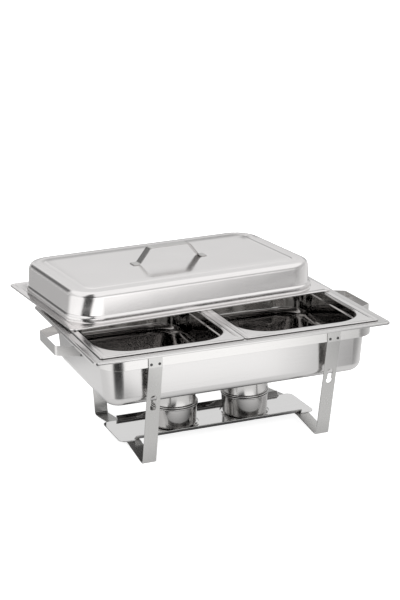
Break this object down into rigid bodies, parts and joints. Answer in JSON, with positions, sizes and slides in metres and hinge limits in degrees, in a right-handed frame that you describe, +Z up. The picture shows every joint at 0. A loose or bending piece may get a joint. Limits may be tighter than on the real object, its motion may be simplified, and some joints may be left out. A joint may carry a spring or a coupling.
{
  "type": "buffet server",
  "caption": "Fuel-heated chafing dish: strap frame, water pan, half-size food pans, lift-off domed lid laid back, and burner holders on a shelf.",
  "frame": {"origin": "on the table, under the middle of the whole object's box with the lid laid back at rest", "axes": "+X along the length of the frame, +Y towards the back, where the lid overhangs, +Z up"},
  "size_m": [0.6176, 0.5375, 0.3065],
  "materials": {
    "frame_steel": "brushed",
    "rivet_steel": "dull",
    "satin_steel": "satin",
    "mirror_steel": "polished",
    "pan_steel": "polished",
    "shelf_steel": "bright annealed",
    "burner_steel": "polished",
    "fuel_can": "tinplate",
    "fuel_gel": "gel"
  },
  "bodies": {
    "frame": {"frame_rail": "frame_steel", "leg_strap_left": "frame_steel", "leg_strap_right": "frame_steel", "leg_rivets": "rivet_steel", "handle_left": "frame_steel", "handle_right": "frame_steel"},
    "water_pan": {"water_pan": "satin_steel"},
    "food_pan_left": {"food_pan_left": "pan_steel"},
    "food_pan_right": {"food_pan_right": "pan_steel"},
    "lid": {"lid_shell": "satin_steel", "lid_handle": "mirror_steel"},
    "shelf": {"burner_shelf": "shelf_steel"},
    "fuel_cup_left": {"fuel_cup_left": "burner_steel", "fuel_can_left": "fuel_can", "fuel_gel_left": "fuel_gel"},
    "fuel_cover_left": {"fuel_cover_left": "burner_steel", "regulator_pivot_left": "rivet_steel"},
    "flame_regulator_left": {"flame_regulator_left": "burner_steel"},
    "fuel_cup_right": {"fuel_cup_right": "burner_steel", "fuel_can_right": "fuel_can", "fuel_gel_right": "fuel_gel"},
    "fuel_cover_right": {"fuel_cover_right": "burner_steel", "regulator_pivot_right": "rivet_steel"},
    "flame_regulator_right": {"flame_regulator_right": "burner_steel"}
  },
  "joints": [
    {"name": "water_pan_lift", "type": "slide", "parent": "frame", "child": "water_pan", "axis": [0, 0, 1], "range_m": [0, 0.12]},
    {"name": "food_pan_left_lift", "type": "slide", "parent": "water_pan", "child": "food_pan_left", "axis": [0, 0, 1], "range_m": [0, 0.08]},
    {"name": "food_pan_right_lift", "type": "slide", "parent": "water_pan", "child": "food_pan_right", "axis": [0, 0, 1], "range_m": [0, 0.08]},
    {"name": "lid_lift", "type": "slide", "parent": "food_pan_left", "child": "lid", "axis": [0, 0, 1], "range_m": [0, 0.1]},
    {"name": "shelf_slide", "type": "slide", "parent": "frame", "child": "shelf", "axis": [1, 0, 0], "range_m": [-0.02, 0.02]},
    {"name": "fuel_cup_left_lift", "type": "slide", "parent": "shelf", "child": "fuel_cup_left", "axis": [0, 0, 1], "range_m": [0, 0.01]},
    {"name": "fuel_cover_left_lift", "type": "slide", "parent": "fuel_cup_left", "child": "fuel_cover_left", "axis": [0, 0, 1], "range_m": [0, 0.014]},
    {"name": "flame_regulator_left_swing", "type": "hinge", "parent": "fuel_cover_left", "child": "flame_regulator_left", "pos_m": [-0.0375, -0.09066, 0.0837], "axis": [0, 0, -1], "range_deg": [0, 110]},
    {"name": "fuel_cup_right_lift", "type": "slide", "parent": "shelf", "child": "fuel_cup_right", "axis": [0, 0, 1], "range_m": [0, 0.01]},
    {"name": "fuel_cover_right_lift", "type": "slide", "parent": "fuel_cup_right", "child": "fuel_cover_right", "axis": [0, 0, 1], "range_m": [0, 0.014]},
    {"name": "flame_regulator_right_swing", "type": "hinge", "parent": "fuel_cover_right", "child": "flame_regulator_right", "pos_m": [0.1065, -0.09066, 0.0837], "axis": [0, 0, -1], "range_deg": [0, 110]}
  ],
  "couplings": [
    {"joint": "food_pan_right_lift", "follows": "food_pan_left_lift", "ratio": 1}
  ]
}
